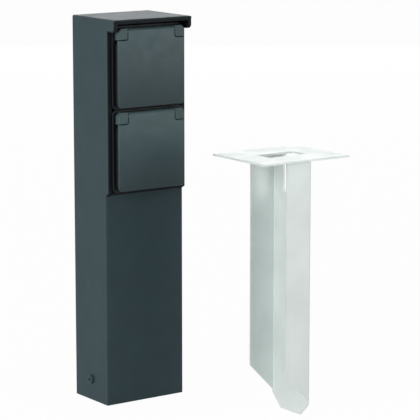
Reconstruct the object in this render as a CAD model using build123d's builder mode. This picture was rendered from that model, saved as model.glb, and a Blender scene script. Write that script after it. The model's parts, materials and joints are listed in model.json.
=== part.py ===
from build123d import *
import os

os.makedirs("parts", exist_ok=True)

# Garden socket post with its ground anchor, in millimetres.
# The origin is the middle of the post's foot on the ground. +X is to the right of somebody
# facing the sockets, +Y goes from the sockets to the back, +Z is up.
# A reach is a distance forward of the post's middle, towards -Y.

# Post body
post_width = 94.0
post_depth = 62.0
post_height = 400.0
sheet = 2.0
fold_round = 1.9
edge_round = 0.5
hood_reach = 18.0
hood_drop = 11.6
hood_corner = 3.4
cheek_reach = 4.3
cheek_slant = 2.6
cheek_below_sill = 1.75

# Black surround that lines the cheeks and the hood and covers their sheet edges
surround_leg = 1.2
surround_leg_drop = 1.4
surround_inset = 0.6
surround_side = 2.2
surround_roof = 2.4
surround_sill = 2.0
surround_sill_reach = 5.0
surround_bevel = 0.5

# Socket units, one above the other
unit_top_drop = 6.85
unit_border = 10.8
unit_gap = 0.2
frame_side_gap = 0.2
lid_inset = 2.6
lid_rim = 2.15
lid_reach = 15.0
lid_plate = 2.3
lid_round = 0.8
lid_corner = 3.5
gasket_thick = 1.0
gasket_inset = 0.6
frame_thick = 5.5
frame_corner = 4.5
frame_round = 0.5
bead_width = 1.8
bead_rise = 0.7

# Lid hinges
block_width = 11.2
block_height = 11.5
block_chamfer = 3.2
block_corner = 2.0
block_round = 0.8
notch_gap = 0.7
barrel_radius = 3.6
pin_radius = 1.25
pin_running_gap = 0.05
pin_end_gap = 0.5
pin_in_block = 7.0
pin_in_barrel = 6.0
spring_length = 13.5
spring_radius = 2.4
spring_wall = 0.8
spring_gap = 0.3
seal_inset = 1.6
seal_wall = 1.8
seal_corner = 3.0
seal_gap = 0.3
rib_wall = 1.2
rib_height = 2.4

# Insert: the recess that a round two-pin plug with side earth contacts goes into
insert_drop = 4.0
insert_side = 63.2
insert_plate = 3.4
insert_gap = 0.3
insert_corner = 5.0
recess_radius = 19.5
recess_depth = 17.5
recess_wall = 1.6
recess_floor = 2.0
recess_bevel = 0.8
pin_spacing = 19.0
pin_hole_radius = 2.7
guide_width = 4.4
guide_rise = 1.8
guide_stop = 1.5
earth_slot_width = 5.8
earth_slot_skin = 0.6
earth_slot_length = 11.4

# Fixing screws of a unit, through insert, frame, gasket and front wall
flange_screw_inset = 4.6
flange_screw_radius = 2.0
flange_screw_clearance = 0.2
flange_head_radius = 3.5
flange_head_height = 2.2
flange_head_recess = 2.4
flange_head_gap = 0.3
flange_nut_flats = 7.0
flange_nut_height = 3.2
flange_screw_tip = 1.0
frame_hole_radius = 25.0
wall_hole_radius = 25.5
gasket_hole_radius = 26.0
thread_gap = 0.05

# Contact base behind the recess
base_radius = 21.0
base_length = 21.0
chamber_wall = 5.2
chamber_front_wall = 2.0
contact_gap = 0.3
shutter_pocket_depth = 2.6
shutter_width = 29.0
shutter_thick = 1.8
shutter_front_gap = 0.3
shutter_side_gap = 0.4
shutter_below = 4.2
shutter_bar = 2.0
shutter_travel = 6.0
shutter_window = 5.8
shutter_end_gap = 0.5
shutter_slot = 4.4
shutter_ramp = 1.2
shutter_spring_radius = 1.1
shutter_spring_wall = 0.4
shutter_spring_length = 12.0
shutter_spring_gap = 0.3
shutter_spring_top_gap = 0.1
centre_screw_radius = 1.75
centre_screw_clearance = 0.15
centre_head_radius = 3.2
centre_head_height = 2.0

# Contacts of a unit
leaf_gap = 4.7
leaf_thick = 0.8
leaf_width = 6.4
leaf_front_gap = 1.0
cage_width = 4.55
cage_height = 16.0
cage_depth = 8.6
contact_back_gap = 2.4
terminal_offset = 4.0
wire_hole_radius = 1.5
wire_hole_depth = 7.1
wire_end_gap = 0.2
clamp_screw_radius = 1.25
clamp_screw_forward = 4.1
clamp_head_radius = 1.9
clamp_head_height = 1.8
clamp_head_start = 1.4
clamp_access_gap = 0.2
clamp_tip_gap = 0.3

# Earth strap of a unit
strap_width = 5.0
strap_thick = 0.8
strap_arm_gap = 0.9
strap_bend = 1.0
strap_knee_reach = 27.0
strap_tip_reach = 31.5
strap_end_reach = 36.0
strap_tip_in = 3.0
strap_end_in = 1.2
strap_hub_radius = 3.2
strap_hub_length = 2.5
earth_cage_width = 16.0
earth_cage_height = 7.0
earth_cage_depth = 6.0
earth_cage_drop = 8.5
earth_hole_depth = 5.0

# Foot bracket, bolted to the ground, which the post is put over
foot_gap = 1.0
foot_sheet = 2.5
foot_tab_width = 28.0
foot_tab_height = 34.0
foot_upright_width = 44.0
foot_upright_height = 88.0
foot_corner = 4.0
foot_slot_inset_x = 13.0
foot_slot_inset_y = 8.0
foot_slot_length = 12.0
foot_slot_width = 6.5
side_screw_height = 22.0
side_screw_radius = 2.5
side_screw_length = 12.0
side_hole_clearance = 0.25
side_head_radius = 4.75
side_head_height = 2.75
side_head_round = 1.6
side_key_flats = 3.0
side_key_depth = 1.6
rivet_radius = 3.5
rivet_length = 10.0
rivet_flange_radius = 4.5
rivet_flange = 0.8
grommet_bore = 12.0
grommet_wall = 4.5
grommet_lip = 3.0
grommet_lip_height = 3.0
grommet_floor_gap = 0.4
grommet_round = 1.0

# Cable clamp and terminal block on the bracket's upright
clamp_height = 42.0
clamp_bar_width = 32.0
clamp_bar_depth = 8.0
clamp_bar_height = 10.0
clamp_groove_radius = 4.6
clamp_bar_corner = 2.5
clamp_screw_offset = 11.0
small_screw_radius = 1.5
small_screw_clearance = 0.2
small_head_radius = 2.8
small_head_height = 1.8
small_screw_tip = 0.5
block_bottom = 60.0
block_tall = 20.0
block_side_wall = 2.4
block_depth = 13.5
block_groove = 1.2
pole_setback = 4.5
tube_radius = 2.6
tube_end_gap = 3.0
funnel_radius = 1.8
pole_screw_offset = 3.5
pole_screw_radius = 1.4
pole_head_radius = 2.0
pole_head_height = 1.6
pole_screw_recess = 1.5
pole_hole_radius = 2.2
pole_wire_end = 10.6

# Wires and earth stud
wire_radius = 1.4
wire_bend_share = 0.5
stud_radius = 2.5
stud_length = 12.0
stud_above_block = 38.0
stud_nut_flats = 8.0
stud_nut_height = 4.0
ring_radius = 5.0
ring_thick = 1.0
ring_barrel_radius = 2.1
ring_barrel_length = 8.0
ring_barrel_start = 6.0
ring_tongue = 3.6
ring_wire_depth = 6.0
bond_rise = 8.0
bond_bend = 5.0

# Ground anchor, standing loose beside the post
anchor_x = 81.0
anchor_y = -156.0
anchor_top = 267.5
anchor_sheet = 2.0
anchor_plate_x = 106.0
anchor_plate_y = 86.0
anchor_plate_round = 0.4
anchor_web = 61.5
anchor_flange = 31.0
anchor_fold = 3.0
anchor_inner_fold = 0.5
anchor_hole_x = 45.0
anchor_hole_y = 21.0
anchor_hole_corner = 2.0
anchor_slot_width = 28.0
anchor_slot_depth = 46.5
anchor_cut_low = 15.3
anchor_cut_high = 46.5
anchor_tip_chamfer = 14.8
weld_leg = 3.0

# Screw heads, as shares of the head's own radius and height
drive_length_share = 1.1
drive_width_share = 0.28
drive_depth_share = 0.55
head_round_share = 0.3

cut_overrun = 5.0
tolerance = 0.01

# Places worked out from the sizes above
half_width = post_width / 2
inner_half = half_width - sheet
wall_front = post_depth / 2
wall_back = wall_front - sheet
back_inner = post_depth / 2 - sheet
hood_front = wall_front + hood_reach
hood_side_front = hood_front - surround_leg
cheek_front = wall_front + cheek_reach
hood_bottom = post_height - hood_drop
roof_under = post_height - sheet

unit_height = insert_side + 2 * unit_border
unit_pitch = unit_height + unit_gap
lid_height = unit_height - 2 * lid_rim
flange_screw_offset = insert_side / 2 - flange_screw_inset
lid_front = wall_front + lid_reach
lid_back = lid_front - lid_plate
frame_back = wall_front + gasket_thick
frame_front = frame_back + frame_thick
surround_inner = inner_half - surround_side
frame_half = surround_inner - frame_side_gap
lid_half = frame_half - lid_inset
lid_width = 2 * lid_half
upper_centre = post_height - unit_top_drop - unit_height / 2
unit_centres = {"lower": upper_centre - unit_pitch, "upper": upper_centre}
sill_top = unit_centres["lower"] - unit_height / 2 - unit_gap
zone_bottom = sill_top - surround_sill - cheek_below_sill

hinge_reach = lid_front - barrel_radius
block_inner = lid_half - block_width
barrel_half = block_inner - notch_gap
lid_low = -lid_height / 2
lid_axis = lid_height / 2 - barrel_radius
lid_shoulder = lid_height / 2 - block_height - notch_gap
lid_body_middle = (lid_low + lid_shoulder) / 2
lid_body_height = lid_shoulder - lid_low
spring_bore_depth = spring_length - notch_gap + spring_gap

insert_front = frame_front
insert_back = insert_front - insert_plate
recess_front = insert_front - recess_depth
recess_outer = recess_radius + recess_wall
base_front = recess_front - recess_floor
base_back = base_front - base_length
pocket_floor = base_front - shutter_pocket_depth
chamber_front = pocket_floor - chamber_front_wall
pin_x = pin_spacing / 2
leaf_outer = pin_x + leaf_gap / 2 + leaf_thick
leaf_inner = pin_x - leaf_gap / 2 - leaf_thick
cage_far = leaf_outer + cage_width
chamber_far = cage_far + contact_gap
chamber_half_height = cage_height / 2 + contact_gap
contact_back = base_back + contact_back_gap
terminal_x = leaf_outer + cage_width / 2
shutter_top = shutter_travel + shutter_window / 2 + shutter_bar
shutter_face = base_front - shutter_front_gap
spring_reach = base_front - shutter_spring_gap - shutter_spring_radius
spring_top = -shutter_below - shutter_spring_top_gap
strap_arm = base_radius + strap_arm_gap
strap_line = base_back - strap_thick / 2
strap_back = base_back - strap_thick

foot_half_x = inner_half - foot_gap
foot_half_y = back_inner - foot_gap
foot_slot_spacing_x = 2 * (foot_half_x - foot_slot_inset_x)
foot_slot_spacing_y = 2 * (foot_half_y - foot_slot_inset_y)
upright_front = foot_half_y - foot_sheet
wire_y = upright_front - pole_setback
earth_wire_end = -strap_back + earth_cage_depth - earth_hole_depth + wire_end_gap
wire_bend = wire_bend_share * (wire_y - earth_wire_end)
pole_pitch = 2 * terminal_x / 3
pole_places = [terminal_x - step * pole_pitch for step in range(4)]
earth_pole = pole_pitch / 2
terminal_block_half = terminal_x + tube_radius + block_side_wall
block_top = block_bottom + block_tall
stud_height = block_top + stud_above_block
block_middle = block_bottom + block_tall / 2
block_front_y = upright_front - block_depth
clamp_front_y = upright_front - clamp_bar_depth
anchor_web_x = anchor_x + anchor_flange / 2
anchor_free_x = anchor_x - anchor_flange / 2
anchor_under = anchor_top - anchor_sheet


def near(value, target):
    return abs(value - target) < tolerance


def front_plane(reach):
    """Upright sketch plane that far forward: its x is the post's X, its y is Z, it faces forward."""
    return Plane.XZ.offset(reach)


def facing(x, reach, z):
    """Plane through a point on a front-facing surface, with its normal pointing forward."""
    return Plane(origin=(x, -reach, z), x_dir=(1, 0, 0), z_dir=(0, -1, 0))


def sideways(x, y, z, side):
    """Plane through a point with its normal along +X (side 1) or -X (side -1)."""
    return Plane(origin=(x, y, z), x_dir=(0, side, 0), z_dir=(side, 0, 0))


def upward(x, y, z):
    """Level plane through a point."""
    return Plane(origin=(x, y, z))


def block(x, y, z, mode=Mode.ADD):
    """Box between two values of x, of y and of z."""
    with Locations(((x[0] + x[1]) / 2, (y[0] + y[1]) / 2, (z[0] + z[1]) / 2)):
        Box(abs(x[1] - x[0]), abs(y[1] - y[0]), abs(z[1] - z[0]), mode=mode)


def rod(plane, radius, length, mode=Mode.ADD):
    """Cylinder that starts on a plane and runs along its normal, or against it if negative."""
    with BuildSketch(plane) as disc:
        Circle(radius)
    extrude(disc.sketch, amount=length, mode=mode)


def tube(plane, outer, inner, length):
    """Round tube that starts on a plane and runs along its normal."""
    with BuildSketch(plane) as ring:
        Circle(outer)
        Circle(inner, mode=Mode.SUBTRACT)
    extrude(ring.sketch, amount=length)


def screw(plane, shank_radius, shank_length, head_radius, head_height):
    """Cross-head screw: the head stands on the plane and the shank goes into it."""
    rod(plane, head_radius, head_height)
    rim = edges().filter_by(GeomType.CIRCLE).filter_by(
        lambda e: near(e.radius, head_radius)
        and near((e.arc_center - plane.origin).dot(plane.z_dir), head_height)
        and near((e.arc_center - plane.origin).length, head_height)
    )
    fillet(rim, head_height * head_round_share)
    rod(plane, shank_radius, -shank_length)
    with BuildSketch(plane.offset(head_height)) as drive:
        Rectangle(head_radius * drive_length_share, head_radius * drive_width_share)
        Rectangle(head_radius * drive_width_share, head_radius * drive_length_share)
    extrude(drive.sketch, amount=-head_height * drive_depth_share, mode=Mode.SUBTRACT)


def nut(plane, flats, height, thread_radius):
    """Hexagon nut that lies on a plane, with its thread hole a little wider than the screw."""
    with BuildSketch(plane) as hexagon:
        RegularPolygon(flats / 2, 6, major_radius=False)
        Circle(thread_radius + thread_gap, mode=Mode.SUBTRACT)
    extrude(hexagon.sketch, amount=height)


def screw_places(centre):
    """The four fixing screw places of a unit, as x and z."""
    low = centre - insert_drop - flange_screw_offset
    high = centre - insert_drop + flange_screw_offset
    return [(x, z) for x in (-flange_screw_offset, flange_screw_offset) for z in (low, high)]


def upright_screw_places():
    """Screw places in the bracket's upright, as x and z: two for the clamp, two for the block."""
    clamp = [(x, clamp_height) for x in (-clamp_screw_offset, clamp_screw_offset)]
    return clamp + [(x, block_middle) for x in (-pole_pitch, pole_pitch)]


def finish(part, name):
    """Label a finished piece and write it under its own name."""
    part.label = name
    export_step(part, f"parts/{name}.step")


def make_column_shell():
    """Back, two sides and hooded top, folded from one sheet."""
    with BuildPart() as column_shell:
        with BuildSketch(Plane.YZ.offset(-half_width)) as profile:
            with BuildLine():
                Polyline(
                    (-hood_side_front, hood_bottom),
                    (-hood_side_front, roof_under),
                    (-hood_front, roof_under),
                    (-hood_front, post_height),
                    (wall_front, post_height),
                    (wall_front, 0),
                    (-wall_front, 0),
                    (-wall_front, zone_bottom + surround_leg_drop),
                    (-cheek_front, zone_bottom + surround_leg_drop + cheek_slant),
                    (-cheek_front, hood_bottom),
                    close=True,
                )
            make_face()
            hood_tip = profile.vertices().filter_by(
                lambda v: near(v.X, -hood_side_front) and near(v.Y, hood_bottom)
            )
            fillet(hood_tip, hood_corner)
        extrude(amount=post_width)
        front_edges = column_shell.edges().filter_by(
            lambda e: near(abs(e.center().X), half_width)
            and e.center().Y < 0
            and 0 < e.center().Z < roof_under - tolerance
        )
        fillet(front_edges, edge_round)
        fold_edges = column_shell.edges().filter_by(
            lambda e: near(e.center().Z, post_height)
            or (near(abs(e.center().X), half_width) and near(e.center().Y, wall_front))
        )
        fillet(fold_edges, fold_round)
        block(
            (-inner_half, inner_half),
            (-hood_front - cut_overrun, back_inner),
            (-cut_overrun, roof_under),
            mode=Mode.SUBTRACT,
        )
        for side in (-1, 1):
            start = sideways(side * (inner_half - cut_overrun), 0, side_screw_height, side)
            reach = cut_overrun + sheet + cut_overrun
            rod(start, side_screw_radius + side_hole_clearance, reach, mode=Mode.SUBTRACT)
    return column_shell.part


def make_front_panel():
    """One plain sheet from the ground to the hood, with a round cut-out for each socket."""
    with BuildPart() as front_panel:
        block((-inner_half, inner_half), (-wall_front, -wall_back), (0, roof_under))
        for centre in unit_centres.values():
            with BuildSketch(front_plane(wall_back - cut_overrun)):
                with Locations((0, centre - insert_drop)):
                    Circle(wall_hole_radius)
                with Locations(*screw_places(centre)):
                    Circle(flange_screw_radius + flange_screw_clearance)
            extrude(amount=sheet + 2 * cut_overrun, mode=Mode.SUBTRACT)
    return front_panel.part


def make_socket_surround(column_shell):
    """Black moulding that lines both cheeks and the hood and stands over their sheet edges."""
    leg_front = cheek_front + surround_leg
    slope = cheek_slant / cheek_reach
    leg_bottom = zone_bottom + slope * (leg_front - wall_front)
    hood_under = hood_bottom - surround_leg
    with BuildPart() as surround:
        with BuildSketch(Plane.YZ.offset(surround_inner)) as cheek:
            with BuildLine():
                Polyline(
                    (-wall_front, zone_bottom),
                    (-leg_front, leg_bottom),
                    (-leg_front, hood_under),
                    (-hood_front, hood_under),
                    (-hood_front, roof_under),
                    (-wall_front, roof_under),
                    close=True,
                )
            make_face()
            hood_tip = cheek.vertices().filter_by(
                lambda v: near(v.X, -hood_front) and near(v.Y, hood_under)
            )
            fillet(hood_tip, hood_corner + surround_leg)
        extrude(amount=half_width - surround_inset - surround_inner)
        mirror(about=Plane.YZ)
        across = (-surround_inner, surround_inner)
        block(across, (-hood_front, -wall_front), (roof_under - surround_roof, roof_under))
        sill_front = -wall_front - surround_sill_reach
        block(across, (sill_front, -wall_front), (sill_top - surround_sill, sill_top))
        add(column_shell, mode=Mode.SUBTRACT)
        lip = surround.edges().filter_by(
            lambda e: near(e.center().Y, -hood_front)
            and near(e.center().Z, roof_under - surround_roof)
            and near(e.center().X, 0)
        )
        chamfer(lip, surround_bevel)
    return surround.part


def make_frame_gasket(centre):
    """Rubber sheet between a socket frame and the front wall."""
    with BuildPart() as gasket:
        with BuildSketch(front_plane(wall_front)):
            with Locations((0, centre)):
                RectangleRounded(
                    2 * (frame_half - gasket_inset),
                    unit_height - 2 * gasket_inset,
                    frame_corner - gasket_inset,
                )
            with Locations((0, centre - insert_drop)):
                Circle(gasket_hole_radius, mode=Mode.SUBTRACT)
            with Locations(*screw_places(centre)):
                Circle(flange_screw_radius + flange_screw_clearance, mode=Mode.SUBTRACT)
        extrude(amount=gasket_thick)
    return gasket.part


def make_socket_frame(centre):
    """Socket frame: raised bead round the edge, pocket for the insert, two hinge blocks."""
    top = centre + lid_height / 2
    low = top - block_height
    with BuildPart() as frame:
        with BuildSketch(front_plane(frame_back)):
            with Locations((0, centre)):
                RectangleRounded(2 * frame_half, unit_height, frame_corner)
        extrude(amount=frame_thick + bead_rise)
        rim = frame.edges().filter_by(lambda e: near(e.center().Y, -frame_front - bead_rise))
        fillet(rim, frame_round)
        with BuildSketch(front_plane(frame_front)):
            with Locations((0, centre)):
                RectangleRounded(
                    2 * (frame_half - bead_width),
                    unit_height - 2 * bead_width,
                    frame_corner - bead_width,
                )
        extrude(amount=bead_rise + cut_overrun, mode=Mode.SUBTRACT)
        with BuildSketch(front_plane(insert_back)):
            with Locations((0, centre - insert_drop)):
                opening = insert_side + 2 * insert_gap
                RectangleRounded(opening, opening, insert_corner + insert_gap)
        extrude(amount=insert_plate + cut_overrun, mode=Mode.SUBTRACT)
        for side in (-1, 1):
            inner = side * block_inner
            outer = side * lid_half
            with BuildSketch(front_plane(insert_back)) as face:
                with BuildLine():
                    Polyline(
                        (inner, top),
                        (outer - side * block_chamfer, top),
                        (outer, top - block_chamfer),
                        (outer, low),
                        (inner, low),
                        close=True,
                    )
                make_face()
                tip = face.vertices().filter_by(lambda v: near(v.X, inner) and near(v.Y, low))
                fillet(tip, block_corner)
            extrude(amount=lid_front - insert_back)
        front = frame.edges().filter_by(lambda e: near(e.center().Y, -lid_front))
        fillet(front, block_round)
        with BuildSketch(front_plane(frame_back - cut_overrun)):
            with Locations((0, centre - insert_drop)):
                Circle(frame_hole_radius)
            with Locations(*screw_places(centre)):
                Circle(flange_screw_radius + flange_screw_clearance)
        extrude(amount=frame_thick + cut_overrun, mode=Mode.SUBTRACT)
        for side in (-1, 1):
            start_x = side * (block_inner - cut_overrun)
            axis = sideways(start_x, -hinge_reach, centre + lid_axis, side)
            rod(axis, pin_radius, pin_in_block + cut_overrun, mode=Mode.SUBTRACT)
    return frame.part


def make_socket_insert(centre):
    """Round plug recess with its square plate, pin holes, side guides and earth clip slots."""
    middle = centre - insert_drop
    through = recess_floor + 2 * cut_overrun
    with BuildPart() as insert:
        with BuildSketch(front_plane(insert_back)):
            with Locations((0, middle)):
                RectangleRounded(insert_side, insert_side, insert_corner)
        extrude(amount=insert_plate)
        rod(facing(0, base_front, middle), recess_outer, insert_front - base_front)
        rod(facing(0, recess_front, middle), recess_radius, recess_depth, mode=Mode.SUBTRACT)
        mouth = insert.edges().filter_by(GeomType.CIRCLE).filter_by(
            lambda e: near(e.radius, recess_radius) and near(e.center().Y, -insert_front)
        )
        chamfer(mouth, recess_bevel)
        for side in (-1, 1):
            block(
                (side * (recess_radius - guide_rise), side * (recess_radius + recess_wall / 2)),
                (-recess_front, -insert_front + guide_stop),
                (middle - guide_width / 2, middle + guide_width / 2),
            )
            slot_front = -insert_front + earth_slot_skin
            slot_near = middle + side * (recess_radius - recess_wall)
            slot_far = middle + side * (recess_outer + recess_wall / 2)
            block(
                (-earth_slot_width / 2, earth_slot_width / 2),
                (slot_front, slot_front + earth_slot_length),
                (slot_near, slot_far),
                mode=Mode.SUBTRACT,
            )
            hole = facing(side * pin_x, base_front - cut_overrun, middle)
            rod(hole, pin_hole_radius, through, mode=Mode.SUBTRACT)
        hole = facing(0, base_front - cut_overrun, middle)
        rod(hole, centre_screw_radius + centre_screw_clearance, through, mode=Mode.SUBTRACT)
        for x, z in screw_places(centre):
            hole = facing(x, insert_back - cut_overrun, z)
            shank = flange_screw_radius + flange_screw_clearance
            rod(hole, shank, insert_plate + 2 * cut_overrun, mode=Mode.SUBTRACT)
            seat = facing(x, insert_front - flange_head_recess, z)
            rod(seat, flange_head_radius + flange_head_gap, cut_overrun, mode=Mode.SUBTRACT)
    return insert.part


def make_lid(centre):
    """Lid plate with a notch round each hinge block, a hinge barrel and a rib inside its seal."""
    axis_z = centre + lid_axis
    shoulder = centre + lid_shoulder
    low = centre + lid_low
    with BuildPart() as lid:
        with BuildSketch(front_plane(lid_back)) as face:
            with BuildLine():
                Polyline(
                    (-lid_half, low),
                    (lid_half, low),
                    (lid_half, shoulder),
                    (barrel_half, shoulder),
                    (barrel_half, axis_z),
                    (-barrel_half, axis_z),
                    (-barrel_half, shoulder),
                    (-lid_half, shoulder),
                    close=True,
                )
            make_face()
            fillet(face.vertices().filter_by(lambda v: near(v.Y, low)), lid_corner)
            notch = face.vertices().filter_by(
                lambda v: near(v.Y, shoulder) and near(abs(v.X), barrel_half)
            )
            fillet(notch, block_corner + notch_gap)
        extrude(amount=lid_plate)
        rim = lid.edges().filter_by(
            lambda e: near(e.center().Y, -lid_front) and not near(e.center().Z, axis_z)
        )
        fillet(rim, lid_round)
        rod(sideways(-barrel_half, -hinge_reach, axis_z, 1), barrel_radius, 2 * barrel_half)
        depth = seal_inset + seal_wall
        with BuildSketch(front_plane(lid_back - rib_height)):
            with Locations((0, centre + lid_body_middle)):
                RectangleRounded(lid_width - 2 * depth, lid_body_height - 2 * depth, seal_corner)
                depth += rib_wall
                RectangleRounded(
                    lid_width - 2 * depth,
                    lid_body_height - 2 * depth,
                    seal_corner - rib_wall,
                    mode=Mode.SUBTRACT,
                )
        extrude(amount=rib_height)
        bore = pin_radius + pin_running_gap
        bearing = pin_in_barrel + pin_end_gap
        right = sideways(barrel_half - bearing, -hinge_reach, axis_z, 1)
        rod(right, bore, bearing + cut_overrun, mode=Mode.SUBTRACT)
        spring_end = -barrel_half + spring_bore_depth
        left = sideways(spring_end, -hinge_reach, axis_z, -1)
        rod(left, spring_radius + spring_gap, spring_bore_depth + cut_overrun, mode=Mode.SUBTRACT)
        deep = sideways(spring_end + bearing, -hinge_reach, axis_z, -1)
        rod(deep, bore, bearing + spring_bore_depth, mode=Mode.SUBTRACT)
    return lid.part


def make_lid_seal(centre):
    """Rubber ring behind a lid, set back from the lid's edge."""
    inset = seal_inset
    depth = seal_inset + seal_wall
    with BuildPart() as seal:
        with BuildSketch(front_plane(frame_front + seal_gap)):
            with Locations((0, centre + lid_body_middle)):
                RectangleRounded(
                    lid_width - 2 * inset, lid_body_height - 2 * inset, seal_corner + seal_wall
                )
                RectangleRounded(
                    lid_width - 2 * depth,
                    lid_body_height - 2 * depth,
                    seal_corner,
                    mode=Mode.SUBTRACT,
                )
        extrude(amount=lid_back - frame_front - seal_gap)
    return seal.part


def make_hinge_pins(centre):
    """Two hinge pins, each fixed in its block. The left one is longer and carries the spring."""
    axis_z = centre + lid_axis
    with BuildPart() as pins:
        right = sideways(barrel_half - pin_in_barrel, -hinge_reach, axis_z, 1)
        reach = pin_in_barrel + notch_gap + pin_in_block
        rod(right, pin_radius, reach)
        left_end = -barrel_half + spring_bore_depth + pin_in_barrel
        rod(sideways(left_end, -hinge_reach, axis_z, -1), pin_radius, reach + spring_bore_depth)
    return pins.part


def make_lid_spring(centre):
    """Closing spring on the left hinge pin, as a sleeve that fills the spring's space."""
    with BuildPart() as spring:
        start = sideways(-block_inner, -hinge_reach, centre + lid_axis, 1)
        tube(start, spring_radius, spring_radius - spring_wall, spring_length)
    return spring.part


def make_contact_base(centre):
    """Insulating base: shutter pocket in front, a chamber for each contact open at the back."""
    middle = centre - insert_drop
    with BuildPart() as base:
        rod(facing(0, base_back, middle), base_radius, base_length)
        half_pocket = shutter_width / 2 + shutter_side_gap
        pocket_low = middle - shutter_below - shutter_travel - shutter_end_gap
        block(
            (-half_pocket, half_pocket),
            (-pocket_floor, -base_front - cut_overrun),
            (pocket_low, middle + shutter_top + shutter_side_gap),
            mode=Mode.SUBTRACT,
        )
        half_groove = shutter_spring_radius + shutter_spring_gap
        block(
            (-half_groove, half_groove),
            (-spring_reach + half_groove, -base_front - cut_overrun),
            (middle + spring_top - shutter_spring_length, middle),
            mode=Mode.SUBTRACT,
        )
        for side in (-1, 1):
            block(
                (side * chamber_wall, side * chamber_far),
                (-chamber_front, -base_back + cut_overrun),
                (middle - chamber_half_height, middle + chamber_half_height),
                mode=Mode.SUBTRACT,
            )
            hole = facing(side * pin_x, chamber_front - cut_overrun, middle)
            rod(hole, pin_hole_radius, base_length, mode=Mode.SUBTRACT)
            for z in (middle - terminal_offset, middle + terminal_offset):
                way = sideways(side * terminal_x, -contact_back - clamp_screw_forward, z, side)
                rod(way, clamp_head_radius + clamp_access_gap, base_radius, mode=Mode.SUBTRACT)
        hole = facing(0, base_back - cut_overrun, middle)
        radius = centre_screw_radius + centre_screw_clearance
        rod(hole, radius, base_length + 2 * cut_overrun, mode=Mode.SUBTRACT)
    return base.part


def make_contact(centre, side):
    """Two brass leaves that grip a plug pin, joined to a terminal cage with two wire holes."""
    middle = centre - insert_drop
    leaf_front = -chamber_front + leaf_front_gap
    leaf_z = (middle - leaf_width / 2, middle + leaf_width / 2)
    with BuildPart() as contact:
        for leaf_x in (leaf_inner, leaf_outer - leaf_thick):
            block((side * leaf_x, side * (leaf_x + leaf_thick)), (leaf_front, -contact_back), leaf_z)
        bridge_y = (-contact_back - leaf_thick, -contact_back)
        block((side * leaf_inner, side * leaf_outer), bridge_y, leaf_z)
        block(
            (side * leaf_outer, side * cage_far),
            (-contact_back - cage_depth, -contact_back),
            (middle - cage_height / 2, middle + cage_height / 2),
        )
        for z in (middle - terminal_offset, middle + terminal_offset):
            wire_way = facing(side * terminal_x, contact_back + wire_hole_depth, z)
            rod(wire_way, wire_hole_radius, -wire_hole_depth - cut_overrun, mode=Mode.SUBTRACT)
            way = sideways(side * terminal_x, -contact_back - clamp_screw_forward, z, side)
            rod(way, clamp_screw_radius + thread_gap, cage_width, mode=Mode.SUBTRACT)
    return contact.part


def make_earth_strap(centre):
    """Earth strap behind the base, with a spring clip at the top and bottom of the recess."""
    middle = centre - insert_drop
    half = [
        (-strap_end_reach, recess_radius - strap_end_in),
        (-strap_tip_reach, recess_radius - strap_tip_in),
        (-strap_knee_reach, strap_arm),
        (-strap_line, strap_arm),
    ]
    whole = [(y, middle + z) for y, z in half] + [(y, middle - z) for y, z in reversed(half)]
    cage_z = middle - earth_cage_drop
    mouth = strap_back - earth_cage_depth
    with BuildPart() as strap:
        with BuildSketch(Plane.YZ.offset(-strap_width / 2)):
            with BuildLine():
                FilletPolyline(*whole, radius=strap_bend)
            trace(line_width=strap_thick)
        extrude(amount=strap_width)
        rod(facing(0, strap_back, middle), strap_hub_radius, -strap_hub_length)
        block(
            (-earth_cage_width / 2, earth_cage_width / 2),
            (-strap_back, -mouth),
            (cage_z - earth_cage_height / 2, cage_z + earth_cage_height / 2),
        )
        thread = centre_screw_radius + thread_gap
        rod(facing(0, mouth, middle), thread, base_length, mode=Mode.SUBTRACT)
        for x in (-earth_pole, earth_pole):
            wire_way = facing(x, mouth + earth_hole_depth, cage_z)
            rod(wire_way, wire_hole_radius, -earth_hole_depth - cut_overrun, mode=Mode.SUBTRACT)
            way = upward(x, -strap_back + earth_cage_depth / 2, cage_z)
            rod(way, clamp_screw_radius + thread_gap, -earth_cage_height, mode=Mode.SUBTRACT)
    return strap.part


def make_shutter(centre):
    """Sliding shutter: closes both pin holes at rest, with windows that come down over them."""
    middle = centre - insert_drop
    window = middle + shutter_travel
    with BuildPart() as shutter:
        block(
            (-shutter_width / 2, shutter_width / 2),
            (-shutter_face, -shutter_face + shutter_thick),
            (middle - shutter_below, middle + shutter_top),
        )
        with BuildSketch(front_plane(shutter_face - shutter_thick)):
            with Locations((-pin_x, window), (pin_x, window)):
                Rectangle(shutter_window, shutter_window)
            with Locations((0, middle + shutter_travel / 2)):
                Rectangle(shutter_slot, shutter_travel + shutter_slot)
        extrude(amount=shutter_thick, mode=Mode.SUBTRACT)
        ramps = shutter.edges().filter_by(
            lambda e: near(e.center().Y, -shutter_face)
            and near(e.center().Z, window - shutter_window / 2)
        )
        chamfer(ramps, shutter_ramp)
    return shutter.part


def make_shutter_spring(centre):
    """Return spring under the shutter, as a tube that fills the spring's space."""
    foot = centre - insert_drop + spring_top - shutter_spring_length
    with BuildPart() as spring:
        start = upward(0, -spring_reach, foot)
        inner = shutter_spring_radius - shutter_spring_wall
        tube(start, shutter_spring_radius, inner, shutter_spring_length)
    return spring.part


def make_centre_screw(centre):
    """Screw from the recess floor through the base into the earth strap."""
    with BuildPart() as fastener:
        screw(
            facing(0, recess_front, centre - insert_drop),
            centre_screw_radius,
            recess_front - strap_back + strap_hub_length,
            centre_head_radius,
            centre_head_height,
        )
    return fastener.part


def make_flange_screws(centre):
    """Four screws that hold insert, frame and gasket against the front wall."""
    seat = insert_front - flange_head_recess
    length = seat - wall_back + flange_nut_height + flange_screw_tip
    with BuildPart() as fasteners:
        for x, z in screw_places(centre):
            plane = facing(x, seat, z)
            screw(plane, flange_screw_radius, length, flange_head_radius, flange_head_height)
    return fasteners.part


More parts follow.
